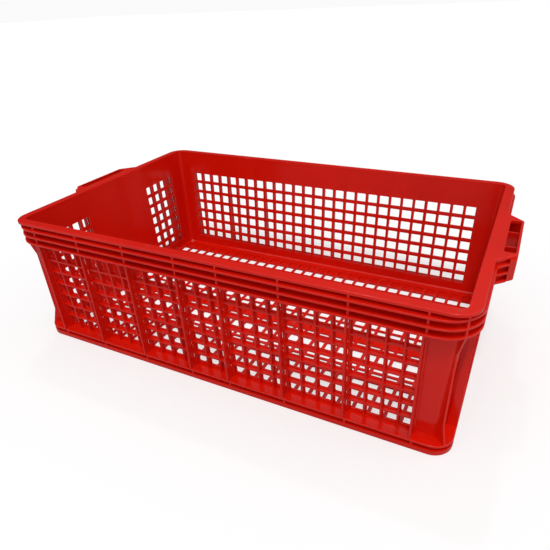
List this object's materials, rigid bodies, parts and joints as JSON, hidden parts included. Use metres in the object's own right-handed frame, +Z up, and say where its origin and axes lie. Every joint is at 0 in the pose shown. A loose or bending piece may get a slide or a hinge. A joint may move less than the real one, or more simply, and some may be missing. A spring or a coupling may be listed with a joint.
{
  "type": "perforated harvest tub",
  "caption": "Open rectangular moulded plastic harvest tub with square-hole walls and floor, a ribbed stacking rim, a grooved base ring and a moulded handle at each end.",
  "frame": {"origin": "middle of the underside of the base ring, on the floor", "axes": "+X along the length towards one handle, +Y across the width towards the rear wall, +Z up"},
  "size_m": [0.671, 0.401, 0.192],
  "materials": {
    "tub_plastic": "glossy injection-moulded polyethylene, red"
  },
  "bodies": {
    "root": {"band_front": "tub_plastic", "band_left_front": "tub_plastic", "band_left_rear": "tub_plastic", "band_rear": "tub_plastic", "band_right_front": "tub_plastic", "band_right_rear": "tub_plastic", "base_front": "tub_plastic", "base_left": "tub_plastic", "base_rear": "tub_plastic", "base_right": "tub_plastic", "cheek_left_front": "tub_plastic", "cheek_left_rear": "tub_plastic", "cheek_right_front": "tub_plastic", "cheek_right_rear": "tub_plastic", "corner_front_left": "tub_plastic", "corner_front_right": "tub_plastic", "corner_rear_left": "tub_plastic", "corner_rear_right": "tub_plastic", "fins_front": "tub_plastic", "fins_left_front": "tub_plastic", "fins_left_rear": "tub_plastic", "fins_rear": "tub_plastic", "fins_right_front": "tub_plastic", "fins_right_rear": "tub_plastic", "floor_grid": "tub_plastic", "floor_strips": "tub_plastic", "grip_left": "tub_plastic", "grip_right": "tub_plastic", "rib_front_1": "tub_plastic", "rib_front_2": "tub_plastic", "rib_front_3": "tub_plastic", "rib_front_4": "tub_plastic", "rib_front_5": "tub_plastic", "rib_front_6": "tub_plastic", "rib_front_7": "tub_plastic", "rib_front_8": "tub_plastic", "rib_left_1": "tub_plastic", "rib_left_2": "tub_plastic", "rib_left_3": "tub_plastic", "rib_left_4": "tub_plastic", "rib_rear_1": "tub_plastic", "rib_rear_2": "tub_plastic", "rib_rear_3": "tub_plastic", "rib_rear_4": "tub_plastic", "rib_rear_5": "tub_plastic", "rib_rear_6": "tub_plastic", "rib_rear_7": "tub_plastic", "rib_rear_8": "tub_plastic", "rib_right_1": "tub_plastic", "rib_right_2": "tub_plastic", "rib_right_3": "tub_plastic", "rib_right_4": "tub_plastic", "rim_front": "tub_plastic", "rim_left": "tub_plastic", "rim_rear": "tub_plastic", "rim_right": "tub_plastic", "wall_front": "tub_plastic", "wall_left": "tub_plastic", "wall_rear": "tub_plastic", "wall_right": "tub_plastic"}
  },
  "joints": []
}
